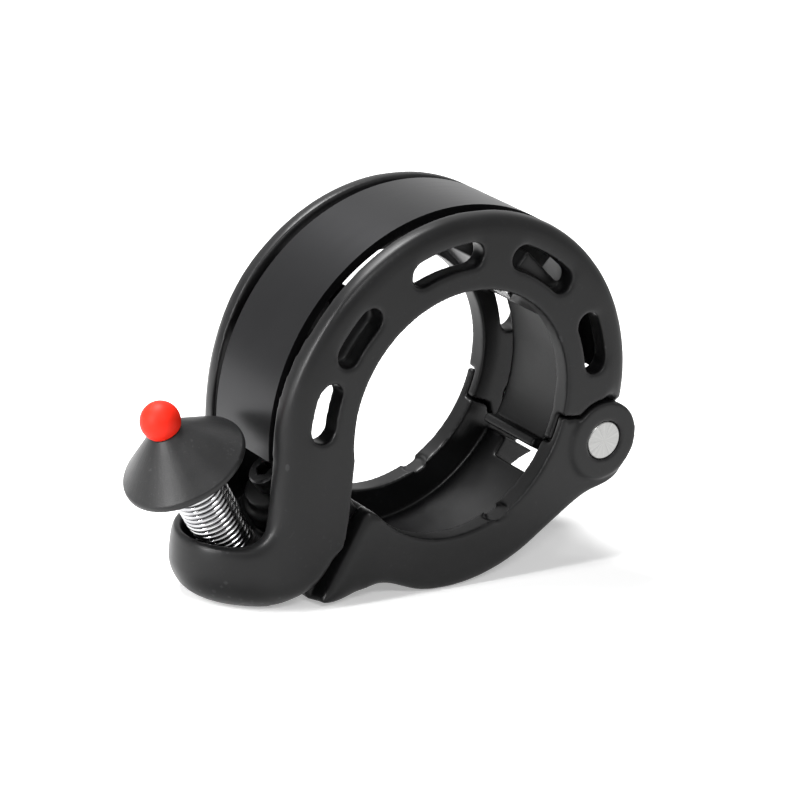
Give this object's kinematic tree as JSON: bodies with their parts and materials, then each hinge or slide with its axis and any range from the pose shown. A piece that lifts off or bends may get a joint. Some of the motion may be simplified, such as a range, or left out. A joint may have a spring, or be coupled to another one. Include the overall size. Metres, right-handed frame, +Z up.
{
  "type": "ring-shaped bicycle bell",
  "caption": "Ring-shaped bicycle bell that wraps round a handlebar, with a slotted black housing, a curved metal sounding band, a hinged clamp arm and a sprung cone striker with a red ball.",
  "frame": {"origin": "on the bar axis, at the middle of the bell's width", "axes": "+Y along the handlebar, +Z up as the bell stands on its clamp arm and foot, +X from the striker towards the hinge"},
  "size_m": [0.0678, 0.0208, 0.0485],
  "materials": {
    "housing_black": "satin moulded black",
    "arm_black": "satin moulded black",
    "band_grey": "smooth satin charcoal coating",
    "bush_rubber": "matt rubber",
    "plain_steel": "plain zinc steel",
    "pin_steel": "turned face with circular grain",
    "plug_nylon": "moulded nylon",
    "black_screw": "black oxide steel",
    "spring_chrome": "bright plated wire",
    "cone_black": "fine-textured matt black",
    "ball_red": "smooth red"
  },
  "bodies": {
    "frame": {"housing": "housing_black", "bell_band": "band_grey", "band_bushes": "bush_rubber", "push_nuts": "plain_steel", "hinge_pin_near": "pin_steel", "hinge_pin_far": "pin_steel", "spring_plug": "plug_nylon", "plug_screw": "black_screw"},
    "arm": {"clamp_arm": "arm_black", "clamp_nut": "plain_steel"},
    "screw": {"clamp_screw": "black_screw"},
    "striker": {"striker_spring": "spring_chrome", "striker_stud": "plain_steel", "striker_cone": "cone_black", "striker_ball": "ball_red"}
  },
  "joints": [
    {"name": "clamp_swing", "type": "hinge", "parent": "frame", "child": "arm", "pos_m": [0.0227, 0, -0.006], "axis": [0, -1, 0], "range_deg": [0, 75]},
    {"name": "screw_travel", "type": "slide", "parent": "frame", "child": "screw", "axis": [-0.6884, 0, 0.7254], "range_m": [0, 0.0035]},
    {"name": "striker_flick", "type": "hinge", "parent": "frame", "child": "striker", "pos_m": [-0.02849, 0, -0.01262], "axis": [0, 1, 0], "range_deg": [-30, 5], "stiffness_Nm_per_rad": 0.08, "deforming": ["striker_spring"]}
  ]
}
